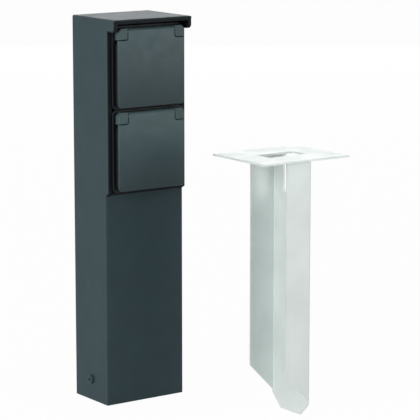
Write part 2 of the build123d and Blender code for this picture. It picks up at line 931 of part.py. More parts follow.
def make_flange_nuts(centre):
    """Four nuts behind the front wall."""
    with BuildPart() as fasteners:
        for x, z in screw_places(centre):
            plane = facing(x, wall_back - flange_nut_height, z)
            nut(plane, flange_nut_flats, flange_nut_height, flange_screw_radius)
    return fasteners.part


def make_contact_screws(centre):
    """Clamp screws: two for each contact from the side, two for the earth strap from below."""
    middle = centre - insert_drop
    cage_z = middle - earth_cage_drop
    grip = wire_radius + clamp_tip_gap
    seat_x = cage_far + clamp_head_start
    seat_z = cage_z - earth_cage_height / 2 - clamp_head_start
    head = (clamp_head_radius, clamp_head_height)
    with BuildPart() as fasteners:
        for side in (-1, 1):
            for z in (middle - terminal_offset, middle + terminal_offset):
                seat = sideways(side * seat_x, -contact_back - clamp_screw_forward, z, side)
                screw(seat, clamp_screw_radius, seat_x - terminal_x - grip, *head)
            place = (side * earth_pole, -strap_back + earth_cage_depth / 2, seat_z)
            seat = Plane(origin=place, x_dir=(1, 0, 0), z_dir=(0, 0, -1))
            screw(seat, clamp_screw_radius, cage_z - grip - seat_z, *head)
    return fasteners.part


def make_foot_bracket():
    """Bracket bolted to the ground: slotted plate, a tab at each side, an upright at the back."""
    with BuildPart() as bracket:
        with BuildSketch():
            RectangleRounded(2 * foot_half_x, 2 * foot_half_y, foot_corner)
            Circle(grommet_bore / 2 + grommet_wall, mode=Mode.SUBTRACT)
            with GridLocations(foot_slot_spacing_x, foot_slot_spacing_y, 2, 2):
                SlotOverall(foot_slot_length, foot_slot_width, mode=Mode.SUBTRACT)
        extrude(amount=foot_sheet)
        half_tab = foot_tab_width / 2
        for side in (-1, 1):
            inner = side * (foot_half_x - foot_sheet)
            block((inner, side * foot_half_x), (-half_tab, half_tab), (0, foot_tab_height))
            hole = sideways(inner - side * cut_overrun, 0, side_screw_height, side)
            rod(hole, rivet_radius, foot_sheet + 2 * cut_overrun, mode=Mode.SUBTRACT)
        half_upright = foot_upright_width / 2
        block((-half_upright, half_upright), (upright_front, foot_half_y), (0, foot_upright_height))
        upright_top = bracket.edges().filter_by(Axis.Y).filter_by(
            lambda e: near(e.center().Z, foot_upright_height)
        )
        fillet(upright_top, foot_corner)
        tab_tops = bracket.edges().filter_by(Axis.X).filter_by(
            lambda e: near(e.center().Z, foot_tab_height)
        )
        fillet(tab_tops, foot_corner)
        for x, z in upright_screw_places():
            hole = facing(x, -foot_half_y - cut_overrun, z)
            length = foot_sheet + 2 * cut_overrun
            rod(hole, small_screw_radius + thread_gap, length, mode=Mode.SUBTRACT)
    return bracket.part


def make_side_screws():
    """Two button-head screws, one in each side, that hold the post on its bracket."""
    with BuildPart() as fasteners:
        for side in (-1, 1):
            seat = sideways(side * half_width, 0, side_screw_height, side)
            rod(seat, side_head_radius, side_head_height)
            rod(seat, side_screw_radius, -side_screw_length)
        tops = fasteners.edges().filter_by(GeomType.CIRCLE).filter_by(
            lambda e: near(abs(e.center().X), half_width + side_head_height)
        )
        fillet(tops, side_head_round)
        for side in (-1, 1):
            top = sideways(side * (half_width + side_head_height), 0, side_screw_height, side)
            with BuildSketch(top):
                RegularPolygon(side_key_flats / 2, 6, major_radius=False)
            extrude(amount=-side_key_depth, mode=Mode.SUBTRACT)
    return fasteners.part


def make_side_rivet_nuts():
    """Rivet nuts in the bracket's side tabs."""
    with BuildPart() as nuts:
        for side in (-1, 1):
            seat = sideways(side * foot_half_x, 0, side_screw_height, side)
            rod(seat, rivet_flange_radius, rivet_flange)
            rod(seat, rivet_radius, -rivet_length)
            mouth = seat.offset(rivet_flange)
            thread = side_screw_radius + thread_gap
            rod(mouth, thread, -rivet_length - cut_overrun, mode=Mode.SUBTRACT)
    return nuts.part


def make_cable_grommet():
    """Rubber grommet in the bracket's cable hole."""
    body_radius = grommet_bore / 2 + grommet_wall
    top = foot_sheet + grommet_lip_height
    with BuildPart() as grommet:
        rod(upward(0, 0, grommet_floor_gap), body_radius, foot_sheet - grommet_floor_gap)
        rod(upward(0, 0, foot_sheet), body_radius + grommet_lip, grommet_lip_height)
        fillet(grommet.edges().filter_by(lambda e: near(e.center().Z, top)), grommet_round)
        way = upward(0, 0, -cut_overrun)
        rod(way, grommet_bore / 2, top + 2 * cut_overrun, mode=Mode.SUBTRACT)
    return grommet.part


def make_cable_clamp():
    """Bar that clamps the supply cable against the bracket's upright."""
    low = clamp_height - clamp_bar_height / 2
    half_bar = clamp_bar_width / 2
    with BuildPart() as clamp:
        block((-half_bar, half_bar), (clamp_front_y, upright_front), (low, low + clamp_bar_height))
        front = clamp.edges().filter_by(Axis.Z).filter_by(
            lambda e: near(e.center().Y, clamp_front_y)
        )
        fillet(front, clamp_bar_corner)
        groove = upward(0, upright_front, low)
        rod(groove, clamp_groove_radius, clamp_bar_height, mode=Mode.SUBTRACT)
        for x, z in upright_screw_places()[:2]:
            hole = facing(x, -upright_front - cut_overrun, z)
            radius = small_screw_radius + small_screw_clearance
            rod(hole, radius, clamp_bar_depth + 2 * cut_overrun, mode=Mode.SUBTRACT)
    return clamp.part


def make_upright_screws(places, front_y):
    """Two screws from a front face, through what they hold, into the bracket's upright."""
    length = foot_half_y + small_screw_tip - front_y
    with BuildPart() as fasteners:
        for x, z in places:
            plane = facing(x, -front_y, z)
            screw(plane, small_screw_radius, length, small_head_radius, small_head_height)
    return fasteners.part


def pole_screw_heights():
    return (block_middle - pole_screw_offset, block_middle + pole_screw_offset)


def make_terminal_block():
    """Four-pole terminal block: a tube space and a funnel for each pole, and its screw holes."""
    with BuildPart() as body:
        block(
            (-terminal_block_half, terminal_block_half),
            (block_front_y, upright_front),
            (block_bottom, block_top),
        )
        for x in pole_places:
            space = upward(x, wire_y, block_bottom + tube_end_gap)
            rod(space, tube_radius, block_tall - 2 * tube_end_gap, mode=Mode.SUBTRACT)
            funnel = upward(x, wire_y, block_bottom - cut_overrun)
            rod(funnel, funnel_radius, block_tall + 2 * cut_overrun, mode=Mode.SUBTRACT)
            for z in pole_screw_heights():
                rod(facing(x, -wire_y, z), pole_hole_radius, block_depth, mode=Mode.SUBTRACT)
        for x in (-pole_pitch, 0, pole_pitch):
            block(
                (x - block_groove / 2, x + block_groove / 2),
                (block_front_y, block_front_y + block_groove),
                (block_bottom, block_top),
                mode=Mode.SUBTRACT,
            )
        for x, z in upright_screw_places()[2:]:
            hole = facing(x, -upright_front - cut_overrun, z)
            radius = small_screw_radius + small_screw_clearance
            rod(hole, radius, block_depth + 2 * cut_overrun, mode=Mode.SUBTRACT)
    return body.part


def make_terminal_tubes():
    """Brass tube of each pole, with its wire bore and two threaded screw holes."""
    length = block_tall - 2 * tube_end_gap
    with BuildPart() as tubes:
        for x in pole_places:
            tube(upward(x, wire_y, block_bottom + tube_end_gap), tube_radius, wire_hole_radius, length)
            for z in pole_screw_heights():
                thread = pole_screw_radius + thread_gap
                rod(facing(x, -wire_y, z), thread, tube_radius, mode=Mode.SUBTRACT)
    return tubes.part


def make_terminal_screws():
    """Two screws for each pole of the terminal block."""
    seat_y = block_front_y + pole_screw_recess + pole_head_height
    tip_y = wire_y - wire_radius - clamp_tip_gap
    with BuildPart() as fasteners:
        for x in pole_places:
            for z in pole_screw_heights():
                plane = facing(x, -seat_y, z)
                screw(plane, pole_screw_radius, tip_y - seat_y, pole_head_radius, pole_head_height)
    return fasteners.part


def make_earth_stud():
    """Earth stud welded to the inside of the column's back."""
    with BuildPart() as stud:
        rod(facing(earth_pole, -back_inner, stud_height), stud_radius, stud_length)
    return stud.part


def make_earth_nut():
    """Nut that holds the ring terminal on the earth stud."""
    with BuildPart() as fastener:
        plane = facing(earth_pole, -back_inner + ring_thick, stud_height)
        nut(plane, stud_nut_flats, stud_nut_height, stud_radius)
    return fastener.part


def make_earth_ring():
    """Ring terminal on the earth stud, with its barrel pointing down."""
    plane = facing(earth_pole, -back_inner, stud_height)
    half_tongue = ring_tongue / 2
    barrel_top = stud_height - ring_barrel_start
    with BuildPart() as ring:
        rod(plane, ring_radius, ring_thick)
        block(
            (earth_pole - half_tongue, earth_pole + half_tongue),
            (back_inner - ring_thick, back_inner),
            (barrel_top - ring_barrel_radius, stud_height),
        )
        barrel = upward(earth_pole, back_inner - ring_barrel_radius, barrel_top)
        rod(barrel, ring_barrel_radius, -ring_barrel_length)
        rod(plane, stud_radius + thread_gap, ring_thick, mode=Mode.SUBTRACT)
        mouth = barrel.offset(-ring_barrel_length)
        rod(mouth, wire_hole_radius, ring_wire_depth, mode=Mode.SUBTRACT)
    return ring.part


def make_wire(points, bend):
    """Round wire along straight runs with one bend radius."""
    with BuildPart() as wire:
        with BuildLine() as route:
            FilletPolyline(*points, radius=bend)
        with BuildSketch(Plane(origin=route.line @ 0, z_dir=route.line % 0)):
            Circle(wire_radius)
        sweep(path=route.line)
    return wire.part


def terminal_point(unit, x, offset):
    """Where a wire ends inside a contact's terminal of a unit."""
    middle = unit_centres[unit] - insert_drop
    return (x, -contact_back - wire_hole_depth + wire_end_gap, middle + offset)


def earth_point(unit, x):
    """Where a wire ends inside the earth strap's terminal of a unit."""
    middle = unit_centres[unit] - insert_drop
    return (x, earth_wire_end, middle - earth_cage_drop)


def behind(point):
    """Where a wire that leaves a point straight back meets the plane of the upright runs."""
    return (point[0], wire_y, point[2])


def make_supply_wire(end):
    """Wire from the terminal block up to a terminal of the lower unit."""
    start = (end[0], wire_y, block_bottom + pole_wire_end)
    return make_wire([start, behind(end), end], wire_bend)


def make_loop_wire(low, high):
    """Wire from a terminal of the lower unit up to one of the upper unit."""
    return make_wire([low, behind(low), behind(high), high], wire_bend)


def make_earth_bond_wire():
    """Wire from the terminal block to the ring terminal on the earth stud."""
    ring_y = back_inner - ring_barrel_radius
    barrel_bottom = stud_height - ring_barrel_start - ring_barrel_length
    points = [
        (earth_pole, wire_y, block_bottom + pole_wire_end),
        (earth_pole, wire_y, block_top + bond_rise),
        (earth_pole, ring_y, barrel_bottom - bond_bend),
        (earth_pole, ring_y, barrel_bottom + ring_wire_depth - wire_end_gap),
    ]
    return make_wire(points, bond_bend)


def make_anchor_plate():
    """Top plate of the ground anchor, with the cable opening."""
    with BuildPart() as plate:
        with BuildSketch(Plane.XY.offset(anchor_under)):
            with Locations((anchor_x, anchor_y)):
                Rectangle(anchor_plate_x, anchor_plate_y)
                RectangleRounded(
                    anchor_hole_x, anchor_hole_y, anchor_hole_corner, mode=Mode.SUBTRACT
                )
        extrude(amount=anchor_sheet)
        rim = plate.edges().filter_by(lambda e: near(e.center().Z, anchor_top))
        fillet(rim, anchor_plate_round)
    return plate.part


def make_anchor_channel():
    """U channel of the ground anchor: slanted flanges, pointed web, cable slot at the top."""
    half_web = anchor_web / 2
    slot_half = anchor_slot_width / 2
    inner_x = anchor_web_x - anchor_sheet
    with BuildPart() as channel:
        with BuildSketch() as section:
            with Locations((anchor_x, anchor_y)):
                Rectangle(anchor_flange, anchor_web)
            outer = section.vertices().filter_by(lambda v: near(v.X, anchor_web_x))
            fillet(outer, anchor_fold)
            with Locations((anchor_x - anchor_sheet, anchor_y)):
                Rectangle(anchor_flange, anchor_web - 2 * anchor_sheet, mode=Mode.SUBTRACT)
            inner = section.vertices().filter_by(
                lambda v: near(v.X, inner_x) and near(abs(v.Y - anchor_y), half_web - anchor_sheet)
            )
            fillet(inner, anchor_inner_fold)
        extrude(amount=anchor_under)
        with BuildSketch(front_plane(-anchor_y - anchor_web)):
            with BuildLine():
                Polyline(
                    (anchor_free_x, 0),
                    (anchor_free_x, anchor_cut_high),
                    (inner_x, anchor_cut_low + anchor_sheet),
                    (inner_x, 0),
                    close=True,
                )
            make_face()
        extrude(amount=2 * anchor_web, mode=Mode.SUBTRACT)
        for side in (-1, 1):
            edge_y = anchor_y + side * half_web
            with BuildSketch(Plane.YZ.offset(inner_x)):
                with BuildLine():
                    Polyline(
                        (edge_y, 0),
                        (edge_y, anchor_tip_chamfer),
                        (edge_y - side * anchor_tip_chamfer, 0),
                        close=True,
                    )
                make_face()
            extrude(amount=anchor_sheet, mode=Mode.SUBTRACT)
        slot_bottom = anchor_under - anchor_slot_depth
        with BuildSketch(Plane.YZ.offset(inner_x - anchor_sheet)):
            with Locations((anchor_y, (slot_bottom + slot_half + anchor_under) / 2)):
                Rectangle(anchor_slot_width, anchor_slot_depth - slot_half)
            with Locations((anchor_y, slot_bottom + slot_half)):
                Circle(slot_half)
        extrude(amount=3 * anchor_sheet, mode=Mode.SUBTRACT)
    return channel.part


def weld_bead(plane, corner, outward, length):
    """Three-sided weld bead in the corner under the anchor's plate, extruded from a plane."""
    with BuildSketch(plane) as bead:
        with BuildLine():
            Polyline(
                (corner, anchor_under),
                (corner + outward * weld_leg, anchor_under),
                (corner, anchor_under - weld_leg),
                close=True,
            )
        make_face()
    extrude(bead.sketch, amount=length)


def make_anchor_welds():
    """Weld beads between the channel's outside and the underside of the plate."""
    half_web = anchor_web / 2
    half_slot = anchor_slot_width / 2
    run = half_web - anchor_fold - half_slot
    with BuildPart() as welds:
        for side in (-1, 1):
            flange_y = anchor_y + side * half_web
            weld_bead(Plane.YZ.offset(anchor_free_x), flange_y, side, anchor_flange - anchor_fold)
            start = front_plane(-anchor_y - side * half_slot)
            weld_bead(start, anchor_web_x, 1, -side * run)
    return welds.part


shell = make_column_shell()
finish(make_socket_surround(shell), "socket_surround")
finish(shell, "column_shell")
finish(make_front_panel(), "front_panel")

unit_makers = {
    "frame_gasket": make_frame_gasket,
    "socket_frame": make_socket_frame,
    "socket_insert": make_socket_insert,
    "lid": make_lid,
    "lid_seal": make_lid_seal,
    "hinge_pins": make_hinge_pins,
    "lid_spring": make_lid_spring,
    "contact_base": make_contact_base,
    "earth_strap": make_earth_strap,
    "shutter": make_shutter,
    "shutter_spring": make_shutter_spring,
    "centre_screw": make_centre_screw,
    "flange_screws": make_flange_screws,
    "flange_nuts": make_flange_nuts,
    "contact_screws": make_contact_screws,
}
for unit, centre in unit_centres.items():
    for piece, make in unit_makers.items():
        finish(make(centre), f"{unit}_{piece}")
    finish(make_contact(centre, 1), f"{unit}_line_contact")
    finish(make_contact(centre, -1), f"{unit}_neutral_contact")

finish(make_foot_bracket(), "foot_bracket")
finish(make_side_screws(), "side_screws")
finish(make_side_rivet_nuts(), "side_rivet_nuts")
finish(make_cable_grommet(), "cable_grommet")
finish(make_cable_clamp(), "cable_clamp")
finish(make_upright_screws(upright_screw_places()[:2], clamp_front_y), "cable_clamp_screws")
finish(make_terminal_block(), "terminal_block")
finish(make_terminal_tubes(), "terminal_tubes")
finish(make_terminal_screws(), "terminal_screws")
finish(make_upright_screws(upright_screw_places()[2:], block_front_y), "terminal_block_screws")
finish(make_earth_stud(), "earth_stud")
finish(make_earth_nut(), "earth_nut")
finish(make_earth_ring(), "earth_ring")

for name, side in (("line", 1), ("neutral", -1)):
    low = terminal_point("lower", side * terminal_x, -terminal_offset)
    finish(make_supply_wire(low), f"supply_{name}_wire")
    low = terminal_point("lower", side * terminal_x, terminal_offset)
    high = terminal_point("upper", side * terminal_x, -terminal_offset)
    finish(make_loop_wire(low, high), f"loop_{name}_wire")
finish(make_supply_wire(earth_point("lower", -earth_pole)), "supply_earth_wire")
loop_ends = (earth_point("lower", earth_pole), earth_point("upper", earth_pole))
finish(make_loop_wire(*loop_ends), "loop_earth_wire")
finish(make_earth_bond_wire(), "earth_bond_wire")

finish(make_anchor_plate(), "anchor_plate")
finish(make_anchor_channel(), "anchor_channel")
finish(make_anchor_welds(), "anchor_welds")
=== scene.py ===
import bpy
import json
import math
from types import SimpleNamespace
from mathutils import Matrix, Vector


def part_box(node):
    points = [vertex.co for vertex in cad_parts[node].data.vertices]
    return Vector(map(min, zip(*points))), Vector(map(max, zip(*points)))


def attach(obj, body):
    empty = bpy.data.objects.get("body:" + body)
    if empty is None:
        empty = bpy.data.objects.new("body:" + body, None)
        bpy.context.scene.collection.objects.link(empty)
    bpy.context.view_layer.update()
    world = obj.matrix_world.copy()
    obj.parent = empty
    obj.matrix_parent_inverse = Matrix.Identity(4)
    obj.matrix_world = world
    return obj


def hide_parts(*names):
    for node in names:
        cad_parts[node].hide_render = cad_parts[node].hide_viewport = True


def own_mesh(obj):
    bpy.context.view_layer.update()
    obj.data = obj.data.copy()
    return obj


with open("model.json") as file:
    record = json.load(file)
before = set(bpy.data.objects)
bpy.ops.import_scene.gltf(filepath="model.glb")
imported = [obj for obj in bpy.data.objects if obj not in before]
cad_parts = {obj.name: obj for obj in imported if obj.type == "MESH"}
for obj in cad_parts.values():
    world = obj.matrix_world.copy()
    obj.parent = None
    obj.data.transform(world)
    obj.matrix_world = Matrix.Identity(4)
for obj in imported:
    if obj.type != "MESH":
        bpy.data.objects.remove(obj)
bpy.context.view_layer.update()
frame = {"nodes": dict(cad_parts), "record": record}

MM = 0.001
UNITS = ("upper", "lower")


def corners_of(node):
    """Low and high corners of a CAD node's box."""
    return tuple(Vector(corner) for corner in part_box(node))


def middle_of(node):
    low, high = corners_of(node)
    return (low + high) / 2


# Places taken from the frame
HOOD_FRONT = corners_of("column_shell")[0].y
HINGE_BLOCK_FRONT = corners_of("lower_socket_frame")[0].y
LOWER_UNIT_MIDDLE = middle_of("lower_socket_frame").z
UNIT_PITCH = middle_of("upper_socket_frame").z - LOWER_UNIT_MIDDLE

# Camera: the photograph's place and view, in the row frame
CAMERA_PLACE = (-1.21995, -1.86728, 0.60335)
CAMERA_AZIMUTH = math.radians(-35.35)
CAMERA_DROP = math.radians(10.35)
CAMERA_LENS = 186.44
CAMERA_REACH = 30.0

# Lamps: name, place, width and power
LAMPS = (
    ("key_lamp", (-2.8, -0.7, 1.0), 1.8, 54.0),
    ("top_lamp", (-0.2, 0.5, 2.6), 1.6, 4.0),
    ("fill_lamp", (1.6, -2.6, 0.8), 1.6, 17.0),
    ("back_lamp", (1.9, 2.6, 1.0), 2.2, 22.0),
)
LAMP_AIM = Vector((0.0, 0.0, 0.22))
AMBIENT = 0.36

# Floor
FLOOR_SIZE = 60.0
FLOOR_DROP = 0.3 * MM
FLOOR_COLOUR = (0.84, 0.84, 0.84, 1.0)
FLOOR_WHITE_SHARE = 0.97

# Cloudy tone and gloss: the span of noise values that most of a surface has
NOISE_SPAN = (0.35, 0.65)
TONE_DETAIL = 5.0
GLOSS_DETAIL = 4.0
GLOSS_FINENESS = 2.3
GRAIN_DETAIL = 2.0

# Zinc spangle
SPANGLE_DETAIL = 3.0
SPANGLE_COARSENESS = 0.6
SPANGLE_DEPTH = 0.25 * MM
SPANGLE_TONE = 1.35

# Edge wear and painted edge highlight: the span is of the cosine between the rounded and the flat
# normal
EDGE_SPAN = (0.80, 0.99)
EDGE_SAMPLES = 6
WEAR_AND_HIGHLIGHT_SCALE = 160.0
WEAR_AND_HIGHLIGHT_DETAIL = 4.0

# Share of a two-colour wire's wave at which its colour changes
STRIPE_SPAN = (0.46, 0.54)

# Height above and below a lid's middle where its painted sheen, lighter at the top and darker at the
# bottom, stops changing
LID_SHADE_REACH = 42 * MM


def add(tree, kind, links=None, **settings):
    """One shader node, with its settings, values and links."""
    made = tree.nodes.new(kind)
    for key, value in settings.items():
        setattr(made, key, value)
    for key, value in (links or {}).items():
        if isinstance(value, bpy.types.NodeSocket):
            tree.links.new(value, made.inputs[key])
        else:
            made.inputs[key].default_value = value
    return made


def maths(tree, operation, first, second):
    return add(tree, "ShaderNodeMath", {0: first, 1: second}, operation=operation).outputs[0]


def noise(tree, place, scale, detail, stretch=None):
    """Noise value between 0 and 1, stretched along an axis where asked."""
    if stretch:
        place = add(tree, "ShaderNodeMapping", {"Vector": place, "Scale": stretch}).outputs[0]
    links = {"Vector": place, "Scale": scale, "Detail": detail}
    return add(tree, "ShaderNodeTexNoise", links).outputs[0]


def between(tree, value, low, high, span=(0.0, 1.0)):
    """A value from low to high as the input goes through the span."""
    links = {"Value": value, "From Min": span[0], "From Max": span[1], "To Min": low, "To Max": high}
    return add(tree, "ShaderNodeMapRange", links).outputs[0]


def mixed(tree, factor, first, second):
    """Colour mixed from two colours."""
    links = {0: factor, 6: first, 7: second}
    return add(tree, "ShaderNodeMix", data_type="RGBA", links=links).outputs[2]


def toned(colour, factor=1.0):
    """A colour made paler or darker, as red, green, blue and alpha."""
    return (*(min(c * factor, 1.0) for c in colour), 1.0)


def bump(tree, height, depth, below=None):
    """Relief of a depth in metres, over another relief where there is one."""
    links = {"Height": height, "Distance": depth, "Strength": 1.0}
    if below:
        links["Normal"] = below
    return add(tree, "ShaderNodeBump", links).outputs[0]


# Layers: each returns a function that changes a coat's colour, gloss or relief


def spangle(scale, share):
    """Zinc flowers: patches paler and duller than the rest, over a slight waviness."""
    def lay(coat):
        tree = coat.tree
        cells = add(tree, "ShaderNodeTexVoronoi", {"Vector": coat.place, "Scale": scale})
        value = add(tree, "ShaderNodeSeparateColor", {0: cells.outputs["Color"]}).outputs[0]
        paler = toned(coat.base, SPANGLE_TONE)
        coat.colour = mixed(tree, between(tree, value, 0.0, share), coat.colour, paler)
        coat.rough = maths(tree, "ADD", coat.rough, between(tree, value, -share, share))
        waves = noise(tree, coat.place, scale * SPANGLE_COARSENESS, SPANGLE_DETAIL)
        coat.normal = bump(tree, waves, SPANGLE_DEPTH)
    return lay


def stripes(scale, colour):
    """Second colour in diagonal stripes."""
    def lay(coat):
        links = {"Vector": coat.place, "Scale": scale}
        wave = add(coat.tree, "ShaderNodeTexWave", links, bands_direction="DIAGONAL").outputs["Fac"]
        mask = between(coat.tree, wave, 0.0, 1.0, STRIPE_SPAN)
        coat.colour = mixed(coat.tree, mask, coat.colour, toned(colour))
    return lay


def crown_and_painted_sheen(bow, bottom, top):
    """Slight outward bow of each lid, and a painted sheen: its colour darker towards the bottom and
    lighter towards the top.
    """
    def lay(coat):
        tree = coat.tree
        z = add(tree, "ShaderNodeSeparateXYZ", {0: coat.place}).outputs["Z"]
        start = LOWER_UNIT_MIDDLE - UNIT_PITCH / 2
        in_unit = maths(tree, "FLOORED_MODULO", maths(tree, "SUBTRACT", z, start), UNIT_PITCH)
        above = maths(tree, "SUBTRACT", in_unit, UNIT_PITCH / 2)
        rise = maths(tree, "MULTIPLY", maths(tree, "MULTIPLY", above, above), -bow)
        coat.normal = bump(tree, rise, 1.0, coat.normal)
        # Painted sheen: colour darker at each lid's bottom and lighter at its top
        low, high = (
            mixed(tree, coat.clouds, toned(end, 1 - coat.tone), toned(end, 1 + coat.tone))
            for end in (bottom, top)
        )
        share = between(tree, above, 0.0, 1.0, (-LID_SHADE_REACH, LID_SHADE_REACH))
        coat.colour = mixed(tree, share, low, high)
    return lay


def wear_and_painted_edge_highlight(radius, share, colour):
    """Paler colour in patches along sharp outer edges: wear, with a painted highlight on the edges.
    """
    def lay(coat):
        tree = coat.tree
        soft = add(tree, "ShaderNodeBevel", {"Radius": radius}, samples=EDGE_SAMPLES).outputs[0]
        flat = add(tree, "ShaderNodeNewGeometry").outputs["Normal"]
        dot = add(tree, "ShaderNodeVectorMath", {0: soft, 1: flat}, operation="DOT_PRODUCT")
        edges = between(tree, dot.outputs["Value"], 1.0, 0.0, EDGE_SPAN)
        mask = maths(tree, "MULTIPLY", edges, noise(tree, coat.place, WEAR_AND_HIGHLIGHT_SCALE, WEAR_AND_HIGHLIGHT_DETAIL))
        coat.colour = mixed(tree, maths(tree, "MULTIPLY", mask, share), coat.colour, toned(colour))
    return lay


def from_depth(start, stop, colour):
    """Another colour past a depth, blended from start to stop along Y."""
    def lay(coat):
        y = add(coat.tree, "ShaderNodeSeparateXYZ", {0: coat.place}).outputs["Y"]
        mask = between(coat.tree, y, 0.0, 1.0, (start, stop))
        coat.colour = mixed(coat.tree, mask, coat.colour, toned(colour))
    return lay


def grain(scale, depth):
    """Fine relief."""
    def lay(coat):
        height = noise(coat.tree, coat.place, scale, GRAIN_DETAIL, coat.stretch)
        coat.normal = bump(coat.tree, height, depth, coat.normal)
    return lay


FINISHES = {}


def finish(name, colour, rough, *layers, metal=0.0, level=0.5, spread=0.06, mottle=35.0,
           tone=0.06, stretch=None):
    """Material with cloudy tone and gloss under its layers, kept by its slot's name."""
    material = bpy.data.materials.new(name)
    material.use_nodes = True
    tree = material.node_tree
    place = add(tree, "ShaderNodeTexCoord").outputs["Object"]
    clouds = between(tree, noise(tree, place, mottle, TONE_DETAIL, stretch), 0.0, 1.0, NOISE_SPAN)
    gloss = noise(tree, place, mottle * GLOSS_FINENESS, GLOSS_DETAIL, stretch)
    coat = SimpleNamespace(
        tree=tree, place=place, stretch=stretch, base=colour, tone=tone, clouds=clouds,
        colour=mixed(tree, clouds, toned(colour, 1 - tone), toned(colour, 1 + tone)),
        rough=between(tree, gloss, rough - spread, rough + spread, NOISE_SPAN), normal=None,
    )
    for lay in layers:
        lay(coat)
    shader = tree.nodes["Principled BSDF"]
    tree.links.new(coat.colour, shader.inputs["Base Color"])
    tree.links.new(coat.rough, shader.inputs["Roughness"])
    if coat.normal:
        tree.links.new(coat.normal, shader.inputs["Normal"])
    shader.inputs["Metallic"].default_value = metal
    shader.inputs["Specular IOR Level"].default_value = level
    FINISHES[name] = material


def make_outer_finishes():
    """Anthracite paint, the lids, their frames and the black strips round them."""
    lid = (0.060, 0.094, 0.100)
    # Paler edge colours: wear, and a painted highlight on the edges
    paint_wear_and_highlight = (0.10, 0.13, 0.14)
    plastic_wear_and_highlight = (0.15, 0.19, 0.20)
    finish(
        "post_paint", (0.031, 0.054, 0.062), 0.50,
        wear_and_painted_edge_highlight(0.8 * MM, 0.7, paint_wear_and_highlight),
        from_depth(HOOD_FRONT + 0.6 * MM, HOOD_FRONT + 0.2 * MM, (0.004, 0.007, 0.009)),
        grain(1100.0, 0.05 * MM), grain(420.0, 0.06 * MM),
        level=0.14, spread=0.025, tone=0.05,
    )
    finish(
        "frame_plastic", lid, 0.46,
        wear_and_painted_edge_highlight(0.6 * MM, 0.5, plastic_wear_and_highlight),
        # Darker towards the back of the frame: a dark rim, and painted shade fading along the hinge
        # block sides
        from_depth(
            HINGE_BLOCK_FRONT + 4.5 * MM, HINGE_BLOCK_FRONT + 7.5 * MM, (0.006, 0.009, 0.011),
        ),
        grain(1300.0, 0.04 * MM),
        level=0.22,
    )
    finish(
        "lid_plastic", lid, 0.42,
        # painted sheen down each lid, over its bow
        crown_and_painted_sheen(1.6, (0.025, 0.044, 0.051), (0.053, 0.092, 0.100)),
        wear_and_painted_edge_highlight(0.6 * MM, 0.8, plastic_wear_and_highlight),
        grain(1300.0, 0.04 * MM), grain(520.0, 0.03 * MM),
        level=0.30, tone=0.04,
    )
    finish("black_plastic", (0.003, 0.005, 0.007), 0.50, grain(1400.0, 0.03 * MM), level=0.12)
    finish("screw_coating", (0.029, 0.053, 0.060), 0.46, grain(1400.0, 0.02 * MM), level=0.16)
    finish("rubber", (0.010, 0.012, 0.013), 0.72, grain(800.0, 0.04 * MM), level=0.25, mottle=90.0)


def make_inner_plastics():
    """Socket insert, contact base, shutter, terminal block and cable clamp."""
    finish("insert_plastic", (0.038, 0.052, 0.058), 0.40, grain(1300.0, 0.03 * MM), level=0.4)
    finish("base_plastic", (0.72, 0.71, 0.66), 0.38, grain(900.0, 0.03 * MM), level=0.4)
    finish("shutter_plastic", (0.60, 0.60, 0.58), 0.35, grain(900.0, 0.03 * MM), level=0.4)
    finish("block_plastic", (0.80, 0.79, 0.73), 0.33, grain(700.0, 0.04 * MM), level=0.45)
    finish("clamp_plastic", (0.11, 0.115, 0.12), 0.5, grain(900.0, 0.04 * MM), level=0.35)


def make_metals():
    """Contacts, fixings and springs, the foot bracket and the ground anchor."""
    finish(
        "brass", (0.80, 0.60, 0.28), 0.26, grain(600.0, 0.02 * MM),
        metal=1.0, mottle=120.0, tone=0.08, stretch=(0.2, 1.0, 1.0),
    )
    finish(
        "tinned_copper", (0.66, 0.64, 0.60), 0.34, grain(500.0, 0.03 * MM),
        metal=1.0, mottle=150.0, tone=0.10,
    )
    finish(
        "zinc_steel", (0.66, 0.68, 0.70), 0.27, grain(900.0, 0.02 * MM),
        metal=1.0, mottle=200.0, tone=0.08,
    )
    finish(
        "stainless", (0.46, 0.475, 0.485), 0.30, grain(1200.0, 0.02 * MM),
        metal=1.0, mottle=180.0, tone=0.07,
    )
    finish(
        "galvanised", (0.56, 0.585, 0.60), 0.44,
        # edge colour: wear, and a painted highlight on the edges
        spangle(150.0, 0.12), wear_and_painted_edge_highlight(0.6 * MM, 0.7, (0.75, 0.77, 0.78)), grain(800.0, 0.03 * MM),
        metal=0.9, tone=0.10,
    )
    finish(
        "anchor_steel", (0.71, 0.765, 0.75), 0.46,
        # edge colour: wear, and a painted highlight on the edges
        spangle(120.0, 0.05), wear_and_painted_edge_highlight(0.7 * MM, 0.6, (0.82, 0.84, 0.84)), grain(700.0, 0.04 * MM),
        metal=0.38, level=0.22, tone=0.04, mottle=22.0,
    )
    finish(
        "anchor_weld", (0.66, 0.71, 0.70), 0.44, grain(420.0, 0.4 * MM),
        metal=0.3, tone=0.14, mottle=300.0,
    )


def make_wire_coverings():
    look = {"level": 0.45, "mottle": 60.0}
    finish("line_wire", (0.15, 0.055, 0.02), 0.38, **look)
    finish("neutral_wire", (0.03, 0.12, 0.46), 0.38, **look)
    finish("earth_wire", (0.05, 0.30, 0.05), 0.38, stripes(90.0, (0.75, 0.62, 0.03)), **look)


def dress_cad_nodes():
    """Each CAD node gets the finish that its record names."""
    for part in frame["record"]["subparts"]:
        for material_slot in frame["nodes"][part["node"]].material_slots:
            material_slot.material = FINISHES[part["material_slot"]]


